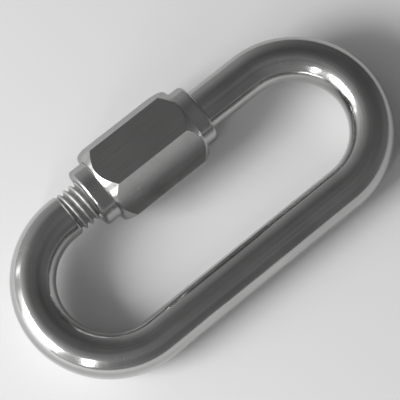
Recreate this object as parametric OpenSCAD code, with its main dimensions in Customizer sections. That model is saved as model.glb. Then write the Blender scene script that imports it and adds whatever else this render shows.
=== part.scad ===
// Quick link: a bent round bar, and the sleeve nut that closes its gate.
// It lies as it comes to rest: on one flat of the nut and along the opposite side of the bar.
// +X runs along the link from the short threaded end to the long one, +Y points to the nut's
// side, and Z = 0 is the surface that the link lies on.

/* [Bar] */
// Diameter of the round bar
bar_d = 8; // [7:0.25:9]
// Clear length inside the loop
inner_length = 60; // [56:1:80]
// Clear width inside the loop
inner_width = 19; // [16:0.5:23]

/* [Gate] */
// Plain bar left between the bend and the short thread's shoulder
short_neck_length = 1; // [0.5:0.25:2]
// Length of the thread on the short end
short_thread_length = 5.1; // [4.8:0.1:7]
// Clear gap between the two bar ends
gate_gap = 8.2; // [6:0.1:10]
// Thread cut on the long end beyond the length of the nut's own thread
thread_runout = 0.1; // [0.1:0.1:0.6]
// Depth of the shoulder between the plain bar and a thread's crest
thread_step = 0.12; // [0.05:0.01:0.2]
// Height of the bevel round each bar end
tip_bevel = 0.7; // [0.4:0.1:1.5]

/* [Nut] */
// Width across the nut's flats
nut_flats = 14; // [13.5:0.5:18]
// Length of the nut over both collars
nut_length = 24.8; // [23:0.2:29]
// Length of the round collar at each end
collar_length = 3; // [1:0.25:4]
// Wall of the collar round the bar
collar_wall = 1.6; // [0.8:0.1:1.8]
// Height of the bevel round each collar's rim
collar_bevel = 0.35; // [0.1:0.05:0.6]
// Length of the cone that cuts back the hexagon's corners at each end
corner_cone_length = 2; // [0.5:0.1:3]
// Face left across the flats where the cone starts, on each side
corner_cone_step = 0.2; // [0.1:0.05:0.4]
// Length of the threaded bore, from the nut's short-end side
nut_thread_length = 15.6; // [12:0.1:20]
// Height of the bevel at each mouth of the bore
bore_bevel = 0.4; // [0.2:0.05:0.6]

/* [Fit] */
// Thread left in view between the nut and the short end's shoulder
exposed_thread = 4.5; // [0.8:0.1:5]
// Radial play of the nut's thread on the bar's threads
thread_play = 0.06; // [0.02:0.01:0.1]
// Radial play of the nut's plain bore on the bar
bar_play = 0.1; // [0.05:0.01:0.2]

/* [Hidden] */

$fn = 96;
steel = [0.66, 0.67, 0.68];
nut_steel = [0.70, 0.71, 0.72];
hex_sides = 6;
// Run of a cut past the face that it opens
overshoot = 1;

// The loop's centre line: two straights, and a half circle at each end
bend_r = (inner_width + bar_d) / 2;
straight = inner_length - inner_width;

// Lengths along the nut's side, each from its bend
short_end_length = short_neck_length + short_thread_length;
long_end_length = straight - short_end_length - gate_gap;
long_neck_length = long_end_length - nut_thread_length - thread_runout;
nut_x = short_neck_length + exposed_thread - straight / 2;

// The bar's threads and the nut that runs on them
thread_r = bar_d / 2 - thread_step;
thread_bore_r = thread_r + thread_play;
plain_bore_r = bar_d / 2 + bar_play;
collar_r = plain_bore_r + collar_wall;
hex_corner_r = nut_flats / 2 / cos(180 / hex_sides);
cone_base_r = nut_flats / 2 - corner_cone_step;

// The link lies on one flat of the nut, which is thicker than the bar, so the loop leans a little
lean = asin((nut_flats - bar_d) / 2 / (2 * bend_r));
loop_height = (nut_flats + bar_d) / 4;

// The outline's middle across the link, seen from above, lies at Y = 0
nut_side_y = bend_r * cos(lean);
middle_y = (hex_corner_r - bar_d / 2) / 2;

// A revolved solid along +X, drawn as [station, radius] points from the axis
module turned_x(profile) {
    rotate([90, 0, 90])
        rotate_extrude()
            polygon([for (point = profile) [point[1], point[0]]]);
}

// The round bar's section, out on the loop's centre line
module bar_section() {
    translate([bend_r, 0])
        circle(d = bar_d);
}

// One half circle of the bar at the +X end of the loop
module bend() {
    translate([straight / 2, 0, 0])
        rotate([0, 0, -90])
            rotate_extrude(angle = 180)
                bar_section();
}

// Plain bar along +X, on the +Y side of the loop
module plain_bar(length) {
    rotate([90, 0, 90])
        linear_extrude(length)
            bar_section();
}

// One bar end along +X from its bend: plain bar, then a small step down to the thread's crest,
// which starts within the neck, and a bevelled tip
module bar_end(neck_length, end_length) {
    plain_bar(neck_length);
    translate([0, bend_r, 0])
        turned_x([
            [neck_length / 2, 0],
            [neck_length / 2, thread_r],
            [end_length - tip_bevel, thread_r],
            [end_length, thread_r - tip_bevel],
            [end_length, 0]
        ]);
}

// The bent bar in its own plane: the plain side towards -Y, and the two ends on the +Y side
module loop() {
    bend();
    mirror([1, 0, 0])
        bend();
    translate([-straight / 2, 0, 0]) {
        mirror([0, 1, 0])
            plain_bar(straight);
        bar_end(short_neck_length, short_end_length);
    }
    translate([straight / 2, 0, 0])
        mirror([1, 0, 0])
            bar_end(long_neck_length, long_end_length);
}

// The bent bar, lying with its plain side on the ground
module link_body() {
    color(steel)
        translate([0, -middle_y, loop_height])
            rotate([lean, 0, 0])
                loop();
}

// The round stock that the collars are turned from
module collars() {
    turned_x([[0, 0], [0, collar_r], [nut_length, collar_r], [nut_length, 0]]);
}

// The hexagon between the collars, with two of its flats level
module hexagon() {
    translate([collar_length, 0, 0])
        rotate([90, 0, 90])
            linear_extrude(nut_length - 2 * collar_length)
                circle(r = hex_corner_r, $fn = hex_sides);
}

// The turned envelope of the nut: bevelled collars, and the cones that cut back the corners
module nut_envelope() {
    hex_end = nut_length - collar_length;
    cone_top_r = hex_corner_r + corner_cone_step;
    cone_run = corner_cone_length * (cone_top_r - cone_base_r) / (hex_corner_r - cone_base_r);
    turned_x([
        [0, 0],
        [0, collar_r - collar_bevel],
        [collar_bevel, collar_r],
        [collar_length, collar_r],
        [collar_length, cone_base_r],
        [collar_length + cone_run, cone_top_r],
        [hex_end - cone_run, cone_top_r],
        [hex_end, cone_base_r],
        [hex_end, collar_r],
        [nut_length - collar_bevel, collar_r],
        [nut_length, collar_r - collar_bevel],
        [nut_length, 0]
    ]);
}

// The threaded bore from the short-end side, and the plain bore that slides over the bar
module nut_bore() {
    turned_x([
        [-overshoot, 0],
        [-overshoot, thread_bore_r + bore_bevel],
        [0, thread_bore_r + bore_bevel],
        [bore_bevel, thread_bore_r],
        [nut_thread_length, thread_bore_r],
        [nut_thread_length, plain_bore_r],
        [nut_length - bore_bevel, plain_bore_r],
        [nut_length, plain_bore_r + bore_bevel],
        [nut_length + overshoot, plain_bore_r + bore_bevel],
        [nut_length + overshoot, 0]
    ]);
}

// The sleeve nut, one flat on the ground
module sleeve_nut() {
    color(nut_steel)
        translate([nut_x, nut_side_y - middle_y, nut_flats / 2])
            difference() {
                intersection() {
                    union() {
                        hexagon();
                        collars();
                    }
                    nut_envelope();
                }
                nut_bore();
            }
}

link_body();
sleeve_nut();
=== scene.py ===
"""A quick link in polished steel: a bent bar with cut threads, and the sleeve nut that closes it."""

import math

import bmesh
import bpy
from bpy.props import FloatProperty, FloatVectorProperty, IntProperty, PointerProperty
from mathutils import Matrix, Vector


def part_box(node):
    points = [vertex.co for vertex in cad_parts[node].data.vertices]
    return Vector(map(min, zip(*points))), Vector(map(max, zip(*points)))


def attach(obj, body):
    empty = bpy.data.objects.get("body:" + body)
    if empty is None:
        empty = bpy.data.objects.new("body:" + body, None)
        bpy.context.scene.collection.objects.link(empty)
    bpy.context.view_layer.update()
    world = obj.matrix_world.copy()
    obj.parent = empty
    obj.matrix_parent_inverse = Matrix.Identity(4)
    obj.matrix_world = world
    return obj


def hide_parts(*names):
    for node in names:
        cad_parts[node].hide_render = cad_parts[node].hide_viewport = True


bl_info = {
    "name": "Quick link",
    "version": (1, 0, 0),
    "blender": (4, 5, 0),
    "location": "3D View > Sidebar > Quick link",
    "description": "Builds a bent bar link with a hexagon sleeve nut, and the stage that it lies on",
    "category": "Add Mesh",
}

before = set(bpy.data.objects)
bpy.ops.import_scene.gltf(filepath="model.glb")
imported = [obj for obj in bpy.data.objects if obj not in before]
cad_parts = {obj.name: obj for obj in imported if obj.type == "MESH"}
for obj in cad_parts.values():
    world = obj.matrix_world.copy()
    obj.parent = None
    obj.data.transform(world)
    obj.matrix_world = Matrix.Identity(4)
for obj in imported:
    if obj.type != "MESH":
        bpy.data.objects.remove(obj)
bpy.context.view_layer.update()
BAR_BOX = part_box("link_body")
NUT_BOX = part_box("sleeve_nut")

MM = 0.001
HEX_SIDES = 6
HEX_HALF_SECTOR = math.pi / HEX_SIDES

# How fine the meshes are
BAR_RINGS_PER_TURN = 20
BORE_RINGS_PER_TURN = 12
PLAIN_RING = 0.7 * MM
CAP_RINGS = 8
EDGE_STEPS = 4
FLAT_STEPS = 10
FLOOR_SIDES = 64
# Points that are closer than this become one, and edges that turn by more than this shade sharp
MERGE_DISTANCE = 0.001 * MM
SHARP_ANGLE = math.radians(32.0)
# How far from its rounded edges a face is held flat, and the largest part of it that each hold takes
EDGE_GUARD = 0.15 * MM
GUARD_LIMIT = 0.3
# The same beside the hexagon's long edges, in shares of the angle that half of a rounded edge takes up
CORNER_GUARD = 1.6
# A point this near to the hexagon lies on a flat
FLAT_TOLERANCE = 1e-7

# Thread profiles over half a turn, from 0 in the middle of the bar's groove to 1 on its crest: where the
# groove's root ends and the crest starts, and where the top of the bore's ridge ends and its foot starts
BAR_ROOT, BAR_CREST = 0.15, 0.95
BORE_TOP, BORE_FOOT = 0.05, 0.85

# The grain of the steel: how often it changes in a metre on each axis, and its detail
GRAIN = {
    "fine_lines": ((60.0, 9000.0, 9000.0), 3.0),
    "broad_lines": ((14.0, 1100.0, 1100.0), 2.0),
    "bar_smudges": ((140.0, 220.0, 220.0), 3.0),
    "waves": ((170.0, 330.0, 330.0), 1.0),
    "scuffs": ((9000.0, 170.0, 170.0), 1.0),
    "flat_lines": ((120.0, 7000.0, 7000.0), 3.0),
    "turned_rings": ((9000.0, 9000.0, 1.0), 3.0),
    "nut_smudges": ((260.0, 260.0, 260.0), 3.0),
}
# The noise's own roughness, and its middle value
GRAIN_ROUGHNESS = 0.55
GRAIN_MIDDLE = 0.5
# The part that fine lines have in the bar's lines, and the part of the scuffs' noise that shows as scuffs
FINE_SHARE = 0.3
SCUFF_RANGE = (0.66, 0.74)
# What the lines' noise is spread over: its lowest and highest value, and the tones for them
BAR_LINE_TONES = (0.37, 0.63, 0.38, 1.08)
NUT_LINE_TONES = (0.35, 0.65, 0.0, 1.0)
# The darkest tone of each steel as a share of its colour
BAR_DARK = 0.6
NUT_DARK = 0.88
# How much the grain changes the roughness
SMUDGE_ROUGHNESS = 0.12
BAR_LINE_ROUGHNESS = 0.1
NUT_LINE_ROUGHNESS = 0.14
SCUFF_ROUGHNESS = 0.1
# How strongly the fine lines stand out of the surface, and how deep scuffs are beside them
LINE_STRENGTH = 0.35
SCUFF_DEPTH = 0.5
# Where the mix node keeps its two colours and the result, after those for numbers and vectors
MIX_DARK, MIX_LIGHT, MIX_RESULT = 6, 7, 2

# The soft lights: bearing from +X towards +Y and height in degrees, distance from the link, width and
# height in metres, and radiance as a share of the main one's
WINDOWS = {
    "main_window": ((170.0, 28.5), 0.6, (0.32, 0.27), 1.0),
    "curtain": ((149.0, 27.0), 0.6, (0.14, 0.26), 0.05),
    "low_window": ((168.0, 8.0), 0.6, (0.32, 0.16), 0.05),
    "left_window": ((211.0, 27.0), 0.3, (0.018, 0.15), 1.2),
    "right_window": ((134.4, 21.5), 0.17, (0.011, 0.063), 0.13),
}
# What lightens the dim room: bearing and height in degrees, and how sharply it fades
ROOM_GLOWS = {
    "ceiling": ((229.0, 63.0), 3.0),
    "window_wall": ((167.0, 20.0), 5.0),
    "right_wall": ((115.0, 5.0), 3.0),
    "left_wall": ((235.0, 5.0), 4.0),
    "side_wall": ((75.0, 10.0), 4.0),
    "back_wall": ((-38.0, -5.0), 4.0),
}

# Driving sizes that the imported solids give
NUT_CENTRE = (NUT_BOX[0] + NUT_BOX[1]) / 2
NUT_SIZE = NUT_BOX[1] - NUT_BOX[0]
BAR_SIZE = BAR_BOX[1] - BAR_BOX[0]
BAR_DIAMETER = 2 * (BAR_BOX[1].z - NUT_CENTRE.z)
RISE = (NUT_SIZE.z - BAR_DIAMETER) / 2
LOOP_WIDTH = math.hypot(BAR_SIZE.y - BAR_DIAMETER, RISE)


def length(name, description, default):
    """A length that the user can change, in metres."""
    return FloatProperty(name=name, description=description, default=default, precision=5,
                         subtype="DISTANCE", unit="LENGTH")


def colour(name, description, default):
    """A colour that the user can change."""
    return FloatVectorProperty(name=name, description=description, default=default, size=3, min=0.0, max=1.0,
                               subtype="COLOR")


def share(name, description, default):
    """A number from 0 to 1 that the user can change."""
    return FloatProperty(name=name, description=description, default=default, min=0.0, max=1.0,
                         subtype="FACTOR")


def angle(name, description, degrees):
    """An angle that the user can change, given in degrees."""
    return FloatProperty(name=name, description=description, default=math.radians(degrees), subtype="ANGLE",
                         unit="ROTATION")


class BarSizes(bpy.types.PropertyGroup):
    """The bent bar and the threads on its two ends."""

    diameter: length("Diameter", "Diameter of the round bar", BAR_DIAMETER)
    loop_length: length("Loop length", "Length of the loop over the bar", BAR_SIZE.x)
    loop_width: length("Loop width", "Width of the loop between the bar's centre lines", LOOP_WIDTH)
    short_neck: length("Short neck", "Plain bar between the bend and the short thread", 1.0 * MM)
    short_thread: length("Short thread", "Length of the thread on the short end", 5.1 * MM)
    gate_gap: length("Gate gap", "Clear gap between the two bar ends", 8.2 * MM)
    long_thread: length("Long thread", "Length of the thread on the long end", 15.7 * MM)
    thread_step: length("Thread step", "Step from the plain bar down to the thread's crest", 0.12 * MM)
    tip_bevel: length("Tip bevel", "Height of the bevel round each bar end", 0.7 * MM)
    pitch: length("Thread pitch", "Travel of the nut in one turn", 1.25 * MM)
    thread_depth: length("Thread depth", "Depth of the thread below its crest", 0.66 * MM)
    run_out: length("Run-out", "Length over which the thread fades at its shoulder", 0.7 * MM)
    sides: IntProperty(name="Sides", description="Faces round the bar", default=96, min=24, max=160,
                       subtype="UNSIGNED")


class NutSizes(bpy.types.PropertyGroup):
    """The hexagon sleeve nut with a turned collar at each end."""

    flats: length("Across flats", "Width across the nut's flats", NUT_SIZE.z)
    overall: length("Length", "Length of the nut over both collars", NUT_SIZE.x)
    collar_length: length("Collar length", "Length of the round collar at each end", 3.0 * MM)
    collar_radius: length("Collar radius", "Radius of the round collars", 5.7 * MM)
    collar_bevel: length("Collar bevel", "Height of the bevel round each collar's rim", 0.35 * MM)
    cone_length: length("Cone length", "Length of the cone that cuts back the corners", 2.0 * MM)
    cone_step: length("Cone step", "Face left across the flats where the cone starts", 0.2 * MM)
    thread_length: length("Thread length", "Length of the threaded bore", 15.6 * MM)
    thread_radius: length("Thread radius", "Radius of the bore at the thread's root", 3.94 * MM)
    thread_depth: length("Thread depth", "Height of the thread in the bore", 0.6 * MM)
    plain_radius: length("Plain bore radius", "Radius of the bore that slides over the bar", 4.1 * MM)
    bore_bevel: length("Bore bevel", "Height of the bevel at each mouth of the bore", 0.4 * MM)
    rim_radius: length("Rim radius", "Rounding of the bevel round each collar's rim", 0.5 * MM)
    edge_radius: length("Edge radius", "Rounding of the other turned edges", 0.09 * MM)
    fillet_radius: length("Fillet radius", "Rounding of the inside corner behind each collar", 0.135 * MM)
    corner_radius: length("Corner radius", "Rounding of the hexagon's six long edges", 0.22 * MM)


class SteelFinish(bpy.types.PropertyGroup):
    """The polished steel of the bar and the nut."""

    bar_colour: colour("Bar colour", "Colour of the polished bar", (0.58, 0.58, 0.575))
    nut_colour: colour("Nut colour", "Colour of the nut", (0.56, 0.56, 0.555))
    bar_roughness: share("Bar roughness", "Roughness of the polished bar", 0.15)
    nut_roughness: share("Nut roughness", "Roughness of the nut", 0.22)
    nut_edge: share("Nut edge", "Strength of the nut's reflections at a grazing angle", 0.6)
    smudge_tone: share("Smudge tone", "How much smudges change the bar's tone", 0.8)
    thread_tone: share("Thread tone", "How much darker the threads are than the bar", 0.05)
    # Painted shade: the threads' grooves are made darker in colour, where shade falls in them
    groove_painted_shade: share("Groove painted shade", "How much darker the threads' grooves are than their crests", 0.12)
    thread_roughness: share("Thread roughness", "Roughness that the threads add to the bar's", 0.42)
    line_depth: length("Line depth", "Depth of the fine lines", 0.004 * MM)
    wave_depth: length("Wave depth", "Depth of the bar's slight waviness", 0.035 * MM)


class StageSettings(bpy.types.PropertyGroup):
    """The floor, the light and the camera."""

    floor_colour: colour("Floor colour", "Colour of the pale floor", (0.8, 0.8, 0.8))
    floor_radius: length("Floor radius", "Radius of the floor", 4.0)
    floor_roughness: share("Floor roughness", "Roughness of the floor", 0.8)
    floor_gloss: share("Floor gloss", "How much the floor mirrors", 0.05)
    light_level: FloatProperty(name="Light level", description="Radiance of the main window", default=15.0,
                               min=0.0, subtype="UNSIGNED")
    room_level: share("Room level", "Radiance of the dim room", 0.075)
    ceiling: share("Ceiling", "Radiance that the ceiling adds to the room's", 0.13)
    window_wall: share("Window wall", "Radiance that the wall round the windows adds", 0.8)
    right_wall: share("Right wall", "Radiance that the pale wall on the right adds", 0.3)
    left_wall: share("Left wall", "Radiance that the pale wall on the left adds", 0.15)
    side_wall: share("Side wall", "Radiance that the wall to the right of the link adds", 0.12)
    back_wall: share("Back wall", "Radiance that the wall opposite the windows adds", 0.14)
    view_azimuth: angle("View azimuth", "Bearing of the camera, from the -Y side towards +X", -23.13)
    view_elevation: angle("View elevation", "Height of the camera above the floor", 68.62)
    view_roll: angle("View roll", "Turn of the camera about its line of sight", -16.845)
    view_distance: length("View distance", "Distance of the camera from the point that it looks at", 0.28)
    view_lens: FloatProperty(name="Lens", description="Focal length of the camera", default=142.6,
                             subtype="DISTANCE_CAMERA")
    view_rise: length("View rise", "Rise of the view's centre over the link's own centre", 1.13 * MM)


class QuickLinkSettings(bpy.types.PropertyGroup):
    """Everything that a user can change."""

    bar: PointerProperty(type=BarSizes, name="Bar", description="The bent bar")
    nut: PointerProperty(type=NutSizes, name="Nut", description="The sleeve nut")
    finish: PointerProperty(type=SteelFinish, name="Finish", description="The steel of both pieces")
    stage: PointerProperty(type=StageSettings, name="Stage", description="Floor, light and camera")


class Field:
    """A number in a node tree, so that node maths reads as a formula."""

    def __init__(self, tree, socket):
        self.tree = tree
        self.socket = socket

    def math(self, operation, *others):
        """The result of a maths node on this number and the others."""
        node = self.tree.nodes.new("ShaderNodeMath")
        node.operation = operation
        for socket, value in zip(node.inputs, (self, *others)):
            feed(self.tree, socket, value)
        return Field(self.tree, node.outputs[0])

    def __add__(self, other):
        return self.math("ADD", other)

    def __sub__(self, other):
        return self.math("SUBTRACT", other)

    def __mul__(self, other):
        return self.math("MULTIPLY", other)

    def __truediv__(self, other):
        return self.math("DIVIDE", other)

    def __neg__(self):
        return self.math("MULTIPLY", -1.0)

    def at_least(self, other):
        return self.math("MAXIMUM", other)

    def at_most(self, other):
        return self.math("MINIMUM", other)

    def between(self, lowest, highest):
        return self.at_least(lowest).at_most(highest)

    def sine(self):
        return self.math("SINE")

    def cosine(self):
        return self.math("COSINE")

    def smooth_step(self, start, end, low=0.0, high=1.0):
        """Low before start, high after end, and smooth between."""
        return self.mapped("SMOOTHSTEP", start, end, low, high)

    def ramp(self, start, end, low=0.0, high=1.0):
        """Low before start, high after end, and straight between."""
        return self.mapped("LINEAR", start, end, low, high)

    def mapped(self, kind, start, end, low, high):
        """The range from start to end spread over the range from low to high."""
        node = self.tree.nodes.new("ShaderNodeMapRange")
        node.interpolation_type = kind
        for socket, value in zip(node.inputs, (self, start, end, low, high)):
            feed(self.tree, socket, value)
        return Field(self.tree, node.outputs[0])


def feed(tree, socket, value):
    """Joins a socket to a field or another socket, or sets its own value."""
    if isinstance(value, Field):
        tree.links.new(value.socket, socket)
    elif isinstance(value, bpy.types.NodeSocket):
        tree.links.new(value, socket)
    else:
        socket.default_value = value


def add_node(tree, kind, inputs=None, **settings):
    """Adds a node with its settings, and feeds the inputs that are named."""
    node = tree.nodes.new(kind)
    for name, value in settings.items():
        setattr(node, name, value)
    for name, value in (inputs or {}).items():
        feed(tree, node.inputs[name], value)
    return node


def vector_of(tree, x, y, z):
    """A vector from three numbers, fields or sockets."""
    return add_node(tree, "ShaderNodeCombineXYZ", {"X": x, "Y": y, "Z": z}).outputs[0]


def store(tree, geometry, name, kind, value):
    """Keeps a value on the mesh's points, where a material can read it."""
    node = add_node(tree, "GeometryNodeStoreNamedAttribute", {"Geometry": geometry, "Name": name},
                    data_type=kind, domain="POINT")
    feed(tree, node.inputs["Value"], value)
    return node.outputs["Geometry"]


def thread_groove(phase):
    """How deep a thread is cut at a phase from 0 to 1: 0 on the crest and 1 in the root."""
    return (phase * 2.0 - 1.0).math("ABSOLUTE").smooth_step(BAR_CREST, BAR_ROOT)


def bar_tree(material):
    """The node tree that sweeps the bar round its loop and cuts the threads on its ends."""
    tree = bpy.data.node_groups.new("bent_bar", "GeometryNodeTree")
    tree.is_modifier = True
    names = ("Straight", "Bend radius", "Bar radius", "Short end", "Long end", "Short thread", "Long thread",
             "Thread step", "Tip bevel", "Pitch", "Thread depth", "Run-out",
             "Lean", "Loop side", "Loop height")
    for name in names:
        tree.interface.new_socket(name, in_out="INPUT", socket_type="NodeSocketFloat")
    counts = ("Sides", "Cap rings", "Short thread rings", "Plain rings", "Long thread rings")
    for name in counts:
        tree.interface.new_socket(name, in_out="INPUT", socket_type="NodeSocketInt")
    tree.interface.new_socket("Geometry", in_out="OUTPUT", socket_type="NodeSocketGeometry")
    given = tree.nodes.new("NodeGroupInput")
    size = {name: Field(tree, given.outputs[name]) for name in names + counts}

    # Stations on the path, measured both ways from the middle of the plain side
    bend_start = size["Straight"] / 2.0
    bend_end = bend_start + size["Bend radius"] * math.pi
    short_tip = bend_end + size["Short end"]
    long_tip = bend_end + size["Long end"]
    thread_radius = size["Bar radius"] - size["Thread step"]
    tip_radius = thread_radius - size["Tip bevel"]

    # One flat strip for each stretch: X is the way along the path, Y the angle round the bar
    stretches = (
        (-short_tip - tip_radius, -short_tip, "Cap rings"),
        (-short_tip, size["Short thread"] - short_tip, "Short thread rings"),
        (size["Short thread"] - short_tip, long_tip - size["Long thread"], "Plain rings"),
        (long_tip - size["Long thread"], long_tip, "Long thread rings"),
        (long_tip, long_tip + tip_radius, "Cap rings"),
    )
    joined = tree.nodes.new("GeometryNodeJoinGeometry")
    for start, end, rings in stretches:
        strip = add_node(tree, "GeometryNodeMeshGrid", {
            "Size X": end - start, "Size Y": 2.0 * math.pi,
            "Vertices X": size[rings], "Vertices Y": size["Sides"] + 1.0,
        })
        middle = vector_of(tree, (start + end) / 2.0, 0.0, 0.0)
        moved = add_node(tree, "GeometryNodeTransform", {
            "Geometry": strip.outputs["Mesh"], "Translation": middle,
        })
        tree.links.new(moved.outputs[0], joined.inputs[0])

    flat_point = tree.nodes.new("GeometryNodeInputPosition").outputs[0]
    place = add_node(tree, "ShaderNodeSeparateXYZ", {0: flat_point})
    path = Field(tree, place.outputs["X"])
    turn = Field(tree, place.outputs["Y"])
    side = path.math("SIGN")
    is_long = path.math("GREATER_THAN", 0.0)
    tip = short_tip + is_long * (long_tip - short_tip)
    thread = size["Short thread"] + is_long * (size["Long thread"] - size["Short thread"])

    # The centre line: out along the plain side, round the bend, and back along the nut's side
    travel = path.math("ABSOLUTE").at_most(tip)
    past_tip = (path.math("ABSOLUTE") - tip).at_least(0.0)
    bent = ((travel - bend_start) / size["Bend radius"]).between(0.0, math.pi)
    back = (travel - bend_end).at_least(0.0)
    line_x = side * (travel.at_most(bend_start) + size["Bend radius"] * bent.sine() - back)
    line_y = -(size["Bend radius"] * bent.cosine())

    # The radius: plain bar, then the thread's crest, its helical groove, and the bevelled tip
    to_tip = tip - travel
    in_thread = thread - to_tip
    crest = size["Bar radius"] - in_thread.between(0.0, size["Thread step"])
    phase = (line_x / size["Pitch"] - turn / (2.0 * math.pi)).math("FRACT")
    threaded = in_thread.smooth_step(0.0, size["Run-out"])
    groove = thread_groove(phase) * threaded
    bevelled = tip_radius + to_tip
    radius = ((crest - size["Thread depth"] * groove).at_most(bevelled) - past_tip).at_least(0.0)

    # Out of the loop, and up out of its plane
    outwards = radius * turn.cosine()
    upwards = radius * turn.sine()
    point = vector_of(tree, line_x + side * bent.sine() * outwards, line_y - bent.cosine() * outwards,
                      upwards)

    # What the material reads: the place on the bar as if it were straight, and where the threads are
    straightened = vector_of(tree, path, outwards, upwards)
    kept = store(tree, joined.outputs[0], "along_bar", "FLOAT_VECTOR", straightened)
    kept = store(tree, kept, "thread_groove", "FLOAT", groove)
    kept = store(tree, kept, "threaded", "FLOAT", threaded)
    shaped = add_node(tree, "GeometryNodeSetPosition", {"Geometry": kept, "Position": point})
    closed = add_node(tree, "GeometryNodeMergeByDistance", {
        "Geometry": shaped.outputs[0], "Distance": MERGE_DISTANCE,
    })
    laid = add_node(tree, "GeometryNodeTransform", {
        "Geometry": closed.outputs[0],
        "Rotation": vector_of(tree, size["Lean"], 0.0, 0.0),
        "Translation": vector_of(tree, 0.0, size["Loop side"], size["Loop height"]),
    })
    smooth = add_node(tree, "GeometryNodeSetShadeSmooth", {"Geometry": laid.outputs[0]})
    real = add_node(tree, "GeometryNodeRealizeInstances", {"Geometry": smooth.outputs[0]})
    painted = add_node(tree, "GeometryNodeSetMaterial", {"Geometry": real.outputs[0], "Material": material})
    out = tree.nodes.new("NodeGroupOutput")
    tree.links.new(painted.outputs[0], out.inputs[0])
    return tree


def grown_mesh(name, tree, values):
    """Evaluates a node tree with the given inputs and returns the result as a plain mesh object."""
    seed_mesh = bpy.data.meshes.new(name + "_seed")
    seed = bpy.data.objects.new(name + "_seed", seed_mesh)
    bpy.context.scene.collection.objects.link(seed)
    modifier = seed.modifiers.new("shape", "NODES")
    modifier.node_group = tree
    for item in tree.interface.items_tree:
        if item.item_type == "SOCKET" and item.in_out == "INPUT":
            modifier[item.identifier] = values[item.name]
    evaluated = seed.evaluated_get(bpy.context.evaluated_depsgraph_get())
    mesh = bpy.data.meshes.new_from_object(evaluated)
    # The flat strips bring an empty material slot with them
    mesh.materials.pop(index=0)
    seed.modifiers.remove(modifier)
    bpy.data.objects.remove(seed)
    bpy.data.meshes.remove(seed_mesh)
    mesh.name = name
    piece = bpy.data.objects.new(name, mesh)
    bpy.context.scene.collection.objects.link(piece)
    return piece


def lean_of(settings):
    """How far the loop leans because the nut is thicker than the bar."""
    return math.asin((settings.nut.flats - settings.bar.diameter) / 2 / settings.bar.loop_width)


def steel_shader(name, colour_value, roughness):
    """A metal material, with its node tree and its shader."""
    material = bpy.data.materials.new(name)
    material.use_nodes = True
    tree = material.node_tree
    shader = tree.nodes["Principled BSDF"]
    shader.inputs["Metallic"].default_value = 1.0
    shader.inputs["Base Color"].default_value = (*colour_value, 1.0)
    shader.inputs["Roughness"].default_value = roughness
    return material, tree, shader


def noise(tree, vector, grain):
    """Noise from 0 to 1 on coordinates that are stretched by a grain's three scales."""
    scale, detail = GRAIN[grain]
    spread = add_node(tree, "ShaderNodeMapping", {"Vector": vector, "Scale": scale}, vector_type="POINT")
    texture = add_node(tree, "ShaderNodeTexNoise", {
        "Vector": spread.outputs[0], "Scale": 1.0, "Detail": detail, "Roughness": GRAIN_ROUGHNESS,
    })
    return Field(tree, texture.outputs[0])


def tinted(tree, amount, dark, light):
    """A colour between a dark and a light one."""
    mix = add_node(tree, "ShaderNodeMix", data_type="RGBA")
    feed(tree, mix.inputs["Factor"], amount)
    feed(tree, mix.inputs[MIX_DARK], (*dark, 1.0))
    feed(tree, mix.inputs[MIX_LIGHT], (*light, 1.0))
    return mix.outputs[MIX_RESULT]


def attribute(tree, name):
    """A number that the mesh keeps on its points."""
    return Field(tree, add_node(tree, "ShaderNodeAttribute", attribute_name=name).outputs["Fac"])


def bar_steel(finish):
    """Polished bar: lines from drawing it, a slight waviness, fine scuffs, duller threads, and painted shade
    in the threads' grooves.
    """
    material, tree, shader = steel_shader("polished_bar", finish.bar_colour, finish.bar_roughness)
    along = add_node(tree, "ShaderNodeAttribute", attribute_name="along_bar").outputs["Vector"]
    groove = attribute(tree, "thread_groove")
    threaded = attribute(tree, "threaded")
    fine_lines = noise(tree, along, "fine_lines")
    broad_lines = noise(tree, along, "broad_lines")
    smudges = noise(tree, along, "bar_smudges")
    waves = noise(tree, along, "waves")
    scuffs = noise(tree, along, "scuffs").ramp(*SCUFF_RANGE)

    dark = [value * BAR_DARK for value in finish.bar_colour]
    lines = fine_lines * FINE_SHARE + broad_lines * (1.0 - FINE_SHARE)
    tone = lines.ramp(*BAR_LINE_TONES) + (smudges - GRAIN_MIDDLE) * finish.smudge_tone
    # The threads are a little darker, and their grooves darker still: painted shade in the roots
    tone = tone - threaded * finish.thread_tone - groove * finish.groove_painted_shade
    feed(tree, shader.inputs["Base Color"], tinted(tree, tone, dark, finish.bar_colour))
    uneven = (smudges - GRAIN_MIDDLE) * SMUDGE_ROUGHNESS + (fine_lines - GRAIN_MIDDLE) * BAR_LINE_ROUGHNESS
    uneven = uneven + scuffs * SCUFF_ROUGHNESS
    feed(tree, shader.inputs["Roughness"], uneven + finish.bar_roughness + threaded * finish.thread_roughness)
    wavy = add_node(tree, "ShaderNodeBump", {"Strength": 1.0, "Distance": finish.wave_depth, "Height": waves})
    lined = add_node(tree, "ShaderNodeBump", {
        "Strength": LINE_STRENGTH, "Distance": finish.line_depth, "Height": lines - scuffs * SCUFF_DEPTH,
        "Normal": wavy.outputs[0],
    })
    tree.links.new(lined.outputs[0], shader.inputs["Normal"])
    return material


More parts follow.
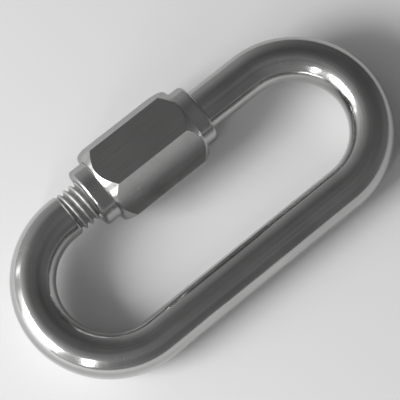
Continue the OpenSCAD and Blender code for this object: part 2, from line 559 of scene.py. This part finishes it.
def nut_steel(finish, axis):
    """Nut steel: lines along the drawn flats, and fine rings on what was turned."""
    material, tree, shader = steel_shader("brushed_nut", finish.nut_colour, finish.nut_roughness)
    shader.inputs["Specular Tint"].default_value = (finish.nut_edge, finish.nut_edge, finish.nut_edge, 1.0)
    place = add_node(tree, "ShaderNodeTexCoord").outputs["Object"]
    shift = add_node(tree, "ShaderNodeMapping", {"Vector": place, "Location": -axis}, vector_type="POINT")
    centred = shift.outputs[0]
    split = add_node(tree, "ShaderNodeSeparateXYZ", {0: centred})
    off_axis = vector_of(tree, 0.0, split.outputs["Y"], split.outputs["Z"])
    distance = add_node(tree, "ShaderNodeVectorMath", {0: off_axis}, operation="LENGTH")
    ring_place = vector_of(tree, split.outputs["X"], distance.outputs["Value"], 0.0)
    flat_lines = noise(tree, centred, "flat_lines")
    rings = noise(tree, ring_place, "turned_rings")
    smudges = noise(tree, centred, "nut_smudges")
    lines = flat_lines + attribute(tree, "turned") * (rings - flat_lines)

    dark = [value * NUT_DARK for value in finish.nut_colour]
    tone = lines.ramp(*NUT_LINE_TONES)
    feed(tree, shader.inputs["Base Color"], tinted(tree, tone, dark, finish.nut_colour))
    uneven = (smudges - GRAIN_MIDDLE) * SMUDGE_ROUGHNESS + (lines - GRAIN_MIDDLE) * NUT_LINE_ROUGHNESS
    feed(tree, shader.inputs["Roughness"], uneven + finish.nut_roughness)
    lined = add_node(tree, "ShaderNodeBump", {
        "Strength": LINE_STRENGTH, "Distance": finish.line_depth, "Height": lines,
    })
    tree.links.new(lined.outputs[0], shader.inputs["Normal"])
    return material


def round_corner(before, corner, after, radius):
    """One corner of an outline as an arc that runs from one straight into the next."""
    back = (before - corner).normalized()
    onward = (after - corner).normalized()
    half = back.angle(onward) / 2
    centre = corner + (back + onward).normalized() * (radius / math.sin(half))
    reach = radius / math.tan(half)
    first = corner + back * reach - centre
    last = corner + onward * reach - centre
    turn = math.pi - 2 * half
    points = []
    for step in range(EDGE_STEPS + 1):
        part = step / EDGE_STEPS
        arm = first * math.sin((1 - part) * turn) + last * math.sin(part * turn)
        points.append(centre + arm / math.sin(turn))
    return points


def with_edges_held(outline):
    """Adds a point near each end of every straight, so that its face shades flat up to its edges."""
    held = []
    for arc, next_arc in zip(outline, outline[1:]):
        held += arc
        straight = next_arc[0] - arc[-1]
        inset = straight * min(EDGE_GUARD / straight.length, GUARD_LIMIT)
        held += [arc[-1] + inset, next_arc[0] - inset]
    return held + outline[-1]


def hex_radius(turn, half_flats, corner_radius):
    """Distance from the nut's axis to its hexagon with rounded long edges, at an angle from a corner."""
    off_corner = abs((turn + HEX_HALF_SECTOR) % (2 * HEX_HALF_SECTOR) - HEX_HALF_SECTOR)
    arc_centre = (half_flats - corner_radius) / math.cos(HEX_HALF_SECTOR)
    if off_corner < corner_reach(half_flats, corner_radius):
        sideways = arc_centre * math.sin(off_corner)
        return arc_centre * math.cos(off_corner) + math.sqrt(corner_radius ** 2 - sideways ** 2)
    return half_flats / math.cos(HEX_HALF_SECTOR - off_corner)


def corner_reach(half_flats, corner_radius):
    """Half of the angle that a rounded long edge takes up, seen from the nut's axis."""
    arc_centre = (half_flats - corner_radius) / math.cos(HEX_HALF_SECTOR)
    return math.atan2(corner_radius * math.sin(HEX_HALF_SECTOR),
                      arc_centre + corner_radius * math.cos(HEX_HALF_SECTOR))


def nut_turns(half_flats, corner_radius):
    """Angles of the nut's columns: close together at the rounded long edges, even across the flats."""
    reach = corner_reach(half_flats, corner_radius)
    guard = CORNER_GUARD * reach
    half = [0.0, reach / 2, reach, guard]
    half += [guard + (HEX_HALF_SECTOR - guard) * step / FLAT_STEPS for step in range(1, FLAT_STEPS + 1)]
    sector = [-turn for turn in reversed(half[1:-1])] + half
    return [2 * HEX_HALF_SECTOR * corner + turn for corner in range(HEX_SIDES) for turn in sector]


def nut_outside(nut, hex_r):
    """The nut's outline in one column, from one bore mouth over the outside to the other, as arcs."""
    half_flats = nut.flats / 2
    corner = half_flats / math.cos(HEX_HALF_SECTOR)
    base = half_flats - nut.cone_step
    cone = nut.cone_length * (hex_r - base) / (corner - base)
    ends = (
        ((0.0, nut.collar_radius - nut.collar_bevel), nut.rim_radius),
        ((nut.collar_bevel, nut.collar_radius), nut.rim_radius),
        ((nut.collar_length, nut.collar_radius), nut.fillet_radius),
        ((nut.collar_length, base), nut.edge_radius),
        ((nut.collar_length + cone, hex_r), nut.edge_radius),
    )
    near = [(Vector(place), radius) for place, radius in ends]
    far = [(Vector((nut.overall - place.x, place.y)), radius) for place, radius in reversed(near)]
    near_mouth = Vector((0.0, nut.thread_radius + nut.bore_bevel))
    far_mouth = Vector((nut.overall, nut.plain_radius + nut.bore_bevel))
    corners = near + far
    places = [near_mouth, *(place for place, radius in corners), far_mouth]
    arcs = [round_corner(*places[i:i + 3], radius) for i, (place, radius) in enumerate(corners)]
    return [[near_mouth], *arcs, [far_mouth]]


def nut_bore(nut, pitch, phase_of, turn):
    """The bore in one column, from the plain end's mouth through the thread to the other mouth."""
    points = [
        Vector((nut.overall - nut.bore_bevel, nut.plain_radius)),
        Vector((nut.thread_length, nut.plain_radius)),
    ]
    rings = round(nut.thread_length / pitch * BORE_RINGS_PER_TURN)
    mouth = nut.thread_radius + nut.bore_bevel
    for ring in range(rings, 0, -1):
        station = nut.thread_length * ring / rings
        off_groove = abs(2 * phase_of(station, turn) - 1)
        rise = min(max((BORE_FOOT - off_groove) / (BORE_FOOT - BORE_TOP), 0.0), 1.0)
        fade = min((nut.thread_length - station) / (pitch / 2), 1.0)
        ridge = nut.thread_depth * rise * rise * (3 - 2 * rise) * fade
        points.append(Vector((station, max(nut.thread_radius - ridge, mouth - station))))
    return points


def nut_mesh(settings):
    """The sleeve nut as one closed mesh: columns round the axis, each with its own outline."""
    nut, bar = settings.nut, settings.bar
    start = Vector((NUT_BOX[0].x, NUT_CENTRE.y, NUT_CENTRE.z))
    half_flats = nut.flats / 2
    lean = lean_of(settings)

    def phase_of(station, turn):
        return ((start.x + station) / bar.pitch - (turn - lean) / (2 * math.pi)) % 1.0

    form = bmesh.new()
    turned = form.verts.layers.float.new("turned")
    columns = []
    for turn in nut_turns(half_flats, nut.corner_radius):
        hex_r = hex_radius(turn, half_flats, nut.corner_radius)
        outside = with_edges_held(nut_outside(nut, hex_r))
        outline = outside + nut_bore(nut, bar.pitch, phase_of, turn)
        column = []
        for point in outline:
            offset = Vector((point.x, point.y * math.cos(turn), point.y * math.sin(turn)))
            vertex = form.verts.new(start + offset)
            vertex[turned] = 0.0 if abs(point.y - hex_r) < FLAT_TOLERANCE else 1.0
            column.append(vertex)
        columns.append(column)
    for column, next_column in zip(columns, columns[1:] + columns[:1]):
        for i in range(len(column)):
            j = (i + 1) % len(column)
            form.faces.new((column[i], column[j], next_column[j], next_column[i])).smooth = True
    bmesh.ops.recalc_face_normals(form, faces=form.faces)
    mesh = bpy.data.meshes.new("sleeve_nut_steel")
    form.to_mesh(mesh)
    form.free()
    return mesh


class QUICK_LINK_OT_bar(bpy.types.Operator):
    """Sweep the bent bar and cut its threads"""

    bl_idname = "quick_link.bar"
    bl_label = "Bent bar"

    def execute(self, context):
        settings = context.scene.quick_link
        bar = settings.bar
        bend_radius = bar.loop_width / 2
        straight = bar.loop_length - bar.diameter - bar.loop_width
        short_end = bar.short_neck + bar.short_thread
        long_end = straight - short_end - bar.gate_gap
        plain = straight + 2 * math.pi * bend_radius + bar.short_neck + long_end - bar.long_thread
        thread_ring = bar.pitch / BAR_RINGS_PER_TURN
        lean = lean_of(settings)
        piece = grown_mesh("bent_bar", bar_tree(bar_steel(settings.finish)), {
            "Straight": straight, "Bend radius": bend_radius, "Bar radius": bar.diameter / 2,
            "Short end": short_end, "Long end": long_end,
            "Short thread": bar.short_thread, "Long thread": bar.long_thread,
            "Thread step": bar.thread_step, "Tip bevel": bar.tip_bevel, "Pitch": bar.pitch,
            "Thread depth": bar.thread_depth, "Run-out": bar.run_out,
            "Lean": lean, "Loop side": NUT_CENTRE.y - bend_radius * math.cos(lean),
            "Loop height": NUT_CENTRE.z - bend_radius * math.sin(lean),
            "Sides": bar.sides, "Cap rings": CAP_RINGS,
            "Short thread rings": round(bar.short_thread / thread_ring) + 1,
            "Plain rings": round(plain / PLAIN_RING) + 1,
            "Long thread rings": round(bar.long_thread / thread_ring) + 1,
        })
        piece.data.set_sharp_from_angle(angle=SHARP_ANGLE)
        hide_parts("link_body")
        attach(piece, "link")
        return {"FINISHED"}


class QUICK_LINK_OT_nut(bpy.types.Operator):
    """Turn the hexagon sleeve nut and thread its bore"""

    bl_idname = "quick_link.nut"
    bl_label = "Sleeve nut"

    def execute(self, context):
        settings = context.scene.quick_link
        mesh = nut_mesh(settings)
        mesh.materials.append(nut_steel(settings.finish, NUT_CENTRE))
        piece = bpy.data.objects.new("hexagon_sleeve_nut", mesh)
        context.scene.collection.objects.link(piece)
        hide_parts("sleeve_nut")
        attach(piece, "nut")
        return {"FINISHED"}


def direction(azimuth, elevation):
    """The direction towards a bearing, from +X towards +Y, and a height above the floor, in degrees."""
    azimuth, elevation = math.radians(azimuth), math.radians(elevation)
    return Vector((math.cos(azimuth) * math.cos(elevation), math.sin(azimuth) * math.cos(elevation),
                   math.sin(elevation)))


def make_floor(stage):
    """A plain pale disc under the link."""
    form = bmesh.new()
    bmesh.ops.create_circle(form, cap_ends=True, segments=FLOOR_SIDES, radius=stage.floor_radius)
    mesh = bpy.data.meshes.new("pale_floor")
    form.to_mesh(mesh)
    form.free()
    material = bpy.data.materials.new("pale_floor")
    material.use_nodes = True
    shader = material.node_tree.nodes["Principled BSDF"]
    shader.inputs["Base Color"].default_value = (*stage.floor_colour, 1.0)
    shader.inputs["Roughness"].default_value = stage.floor_roughness
    shader.inputs["Specular IOR Level"].default_value = stage.floor_gloss
    mesh.materials.append(material)
    floor = bpy.data.objects.new("pale_floor", mesh)
    bpy.context.scene.collection.objects.link(floor)


def make_windows(stage):
    """Soft lights on one side, each facing the link: power is radiance times pi times area."""
    for name, (bearing, distance, (width, height), part) in WINDOWS.items():
        light = bpy.data.lights.new(name, "AREA")
        light.shape = "RECTANGLE"
        light.size = width
        light.size_y = height
        light.energy = stage.light_level * part * math.pi * width * height
        lamp = bpy.data.objects.new(name, light)
        towards = direction(*bearing)
        lamp.location = towards * distance
        lamp.rotation_euler = towards.to_track_quat("Z", "Y").to_euler()
        lamp.visible_camera = False
        bpy.context.scene.collection.objects.link(lamp)


def make_room(stage):
    """A dim room with a lighter ceiling and paler walls, which the steel mirrors."""
    world = bpy.data.worlds.new("dim_room")
    world.use_nodes = True
    tree = world.node_tree
    background = tree.nodes["Background"]
    background.inputs["Color"].default_value = (1.0, 1.0, 1.0, 1.0)
    seen = add_node(tree, "ShaderNodeTexCoord").outputs["Generated"]
    level = stage.room_level
    for name, (bearing, sharpness) in ROOM_GLOWS.items():
        facing = add_node(tree, "ShaderNodeVectorMath", {0: seen, 1: direction(*bearing)},
                          operation="DOT_PRODUCT")
        glow = Field(tree, facing.outputs["Value"]).at_least(0.0).math("POWER", sharpness)
        level = glow * getattr(stage, name) + level
    feed(tree, background.inputs["Strength"], level)
    bpy.context.scene.world = world


def make_camera(stage):
    """The camera, above the link and a little turned, as the photograph was taken."""
    azimuth, elevation, roll = stage.view_azimuth, stage.view_elevation, stage.view_roll
    back = Vector((math.sin(azimuth) * math.cos(elevation), -math.cos(azimuth) * math.cos(elevation),
                   math.sin(elevation)))
    level = Vector((math.cos(azimuth), math.sin(azimuth), 0.0))
    right = level * math.cos(roll) + back.cross(level) * math.sin(roll)
    up = back.cross(right)
    lens = bpy.data.cameras.new("camera")
    lens.lens = stage.view_lens
    lens.clip_start = 0.01
    camera = bpy.data.objects.new("camera", lens)
    turned = Matrix((right, up, back)).transposed().to_4x4()
    camera.matrix_world = Matrix.Translation(up * stage.view_rise + back * stage.view_distance) @ turned
    bpy.context.scene.collection.objects.link(camera)
    bpy.context.scene.camera = camera


class QUICK_LINK_OT_stage(bpy.types.Operator):
    """Lay the pale floor, and set the light and the camera"""

    bl_idname = "quick_link.stage"
    bl_label = "Stage"

    def execute(self, context):
        stage = context.scene.quick_link.stage
        context.scene.view_settings.view_transform = "Standard"
        make_floor(stage)
        make_windows(stage)
        make_room(stage)
        make_camera(stage)
        return {"FINISHED"}


OPERATORS = (QUICK_LINK_OT_stage, QUICK_LINK_OT_bar, QUICK_LINK_OT_nut)


class QUICK_LINK_PT_panel(bpy.types.Panel):
    """Sizes and finishes of the quick link, and the steps that build it"""

    bl_idname = "QUICK_LINK_PT_panel"
    bl_label = "Quick link"
    bl_space_type = "VIEW_3D"
    bl_region_type = "UI"
    bl_category = "Quick link"

    def draw(self, context):
        settings = context.scene.quick_link
        for group in (settings.bar, settings.nut, settings.finish, settings.stage):
            box = self.layout.box()
            for name in group.__annotations__:
                box.prop(group, name)
        for operator in OPERATORS:
            self.layout.operator(operator.bl_idname)


CLASSES = (BarSizes, NutSizes, SteelFinish, StageSettings, QuickLinkSettings, *OPERATORS, QUICK_LINK_PT_panel)


def register():
    """Adds the classes, and the settings to every scene."""
    for item in CLASSES:
        bpy.utils.register_class(item)
    bpy.types.Scene.quick_link = PointerProperty(type=QuickLinkSettings)


def unregister():
    """Takes the settings and the classes away again."""
    del bpy.types.Scene.quick_link
    for item in reversed(CLASSES):
        bpy.utils.unregister_class(item)


def main():
    """Builds the stage and both pieces."""
    register()
    bpy.ops.quick_link.stage()
    bpy.ops.quick_link.bar()
    bpy.ops.quick_link.nut()


if __name__ == "__main__":
    main()
